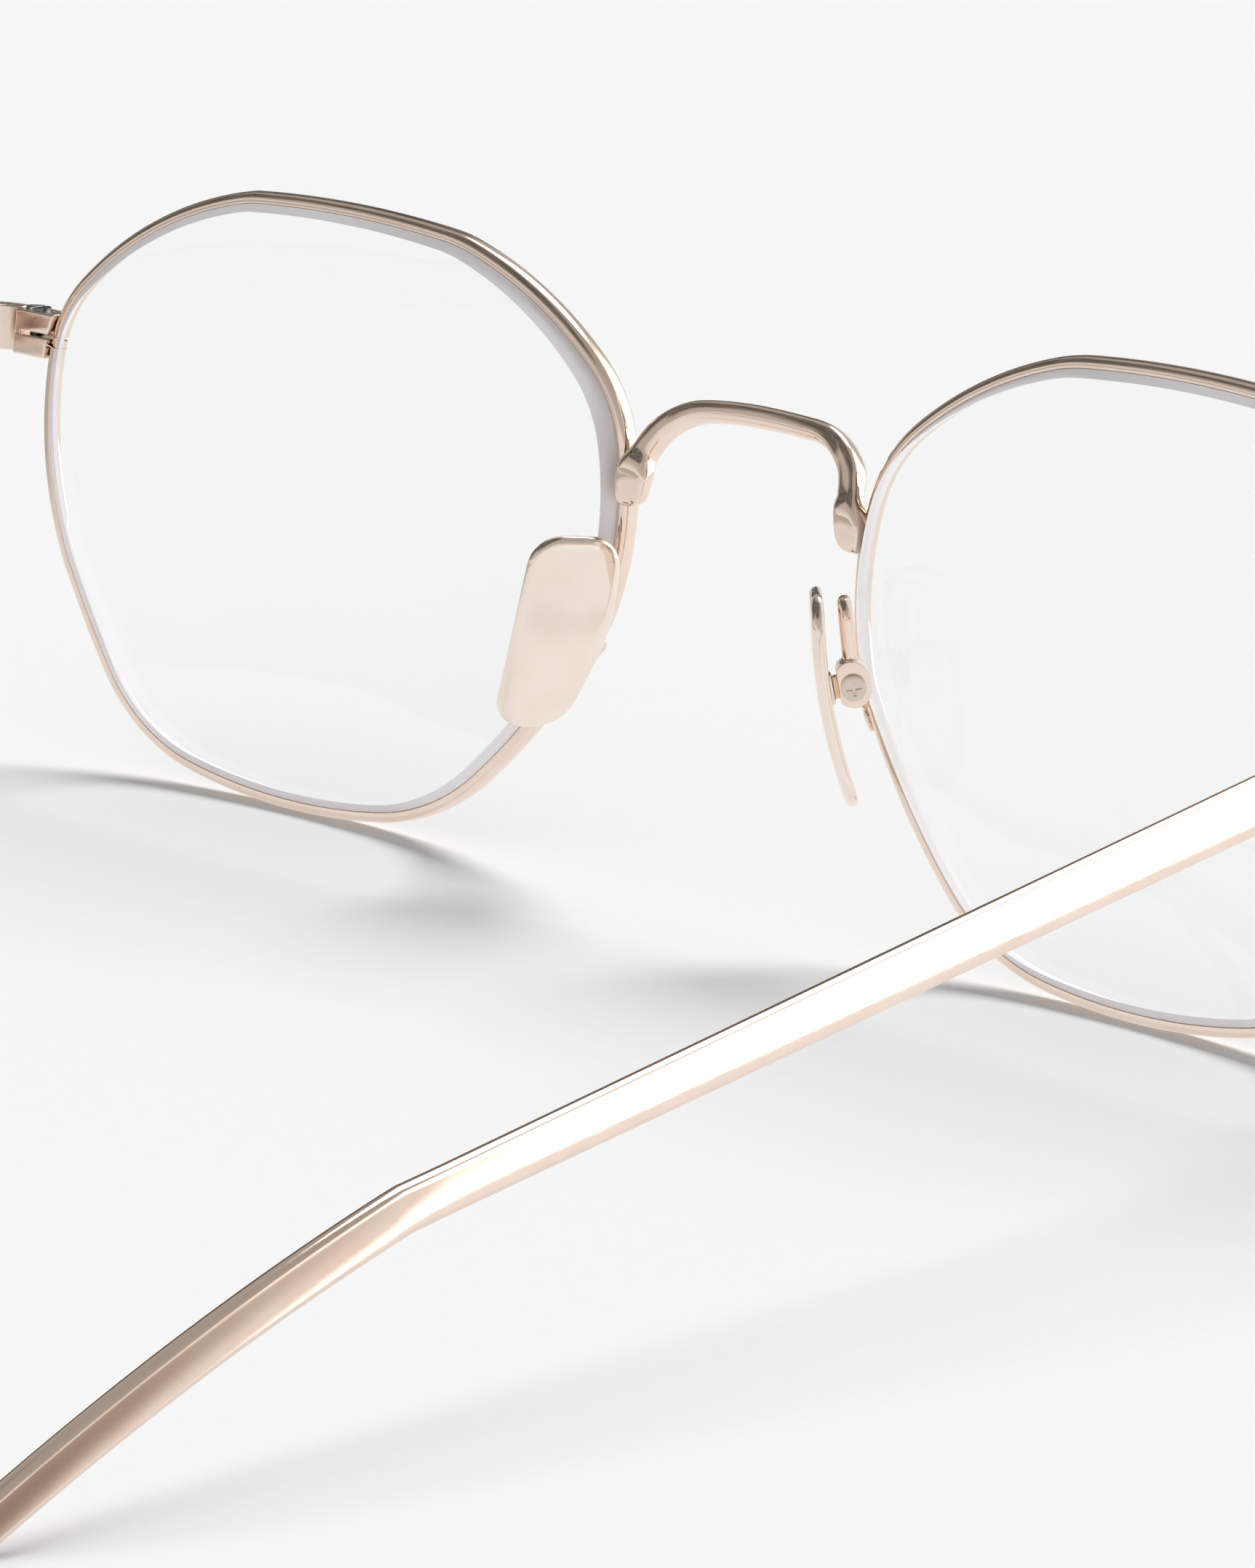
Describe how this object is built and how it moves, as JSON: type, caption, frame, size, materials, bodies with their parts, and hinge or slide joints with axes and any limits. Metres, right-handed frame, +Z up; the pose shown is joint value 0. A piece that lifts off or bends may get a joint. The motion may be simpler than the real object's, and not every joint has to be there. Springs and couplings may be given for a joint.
{
  "type": "eyeglasses",
  "caption": "Octagonal metal eyeglasses with clear lenses, a single arched bridge, metal nose pads on wire arms and slim temples that fold on screw hinges.",
  "frame": {"origin": "On the table, midway between the two rims and in the plane of the lens centres. The rims' lower edges and the temple tips touch the table at Z = 0.", "axes": "+X to the wearer's left, +Y from the front toward the ears, +Z up."},
  "size_m": [0.1296, 0.1453, 0.0427],
  "materials": {
    "frame_metal": "polished",
    "pads": "satin",
    "screws": "polished",
    "lens": "clear"
  },
  "bodies": {
    "front": {"bridge": "frame_metal", "rim_left": "frame_metal", "rim_right": "frame_metal", "lens_left": "lens", "lens_right": "lens", "closing_block_upper_left": "frame_metal", "closing_block_upper_right": "frame_metal", "closing_block_lower_left": "frame_metal", "closing_block_lower_right": "frame_metal", "closing_screw_left": "screws", "closing_screw_right": "screws", "end_piece_left": "frame_metal", "end_piece_right": "frame_metal", "front_knuckles_left": "frame_metal", "front_knuckles_right": "frame_metal", "hinge_screw_left": "screws", "hinge_screw_right": "screws", "pad_arm_left": "frame_metal", "pad_arm_right": "frame_metal", "pad_box_left": "frame_metal", "pad_box_right": "frame_metal", "pad_screw_left": "screws", "pad_screw_right": "screws"},
    "temple_left": {"temple_left": "frame_metal", "temple_knuckle_left": "frame_metal"},
    "temple_right": {"temple_right": "frame_metal", "temple_knuckle_right": "frame_metal"},
    "pad_left": {"nose_pad_left": "pads", "pad_lug_left": "pads"},
    "pad_right": {"nose_pad_right": "pads", "pad_lug_right": "pads"}
  },
  "joints": [
    {"name": "temple_left_fold", "type": "hinge", "parent": "front", "child": "temple_left", "pos_m": [0.06236, 0.0085, 0.02951], "axis": [0, 0, 1], "range_deg": [0, 87]},
    {"name": "temple_right_fold", "type": "hinge", "parent": "front", "child": "temple_right", "pos_m": [-0.06236, 0.0085, 0.02951], "axis": [0, 0, -1], "range_deg": [0, 85.5]},
    {"name": "pad_left_rock", "type": "hinge", "parent": "front", "child": "pad_left", "pos_m": [0.0123, 0.0032, 0.01846], "axis": [0.6018, 0.7986, 0], "range_deg": [-8, 8]},
    {"name": "pad_right_rock", "type": "hinge", "parent": "front", "child": "pad_right", "pos_m": [-0.0123, 0.0032, 0.01846], "axis": [-0.6018, 0.7986, 0], "range_deg": [-8, 8]}
  ]
}
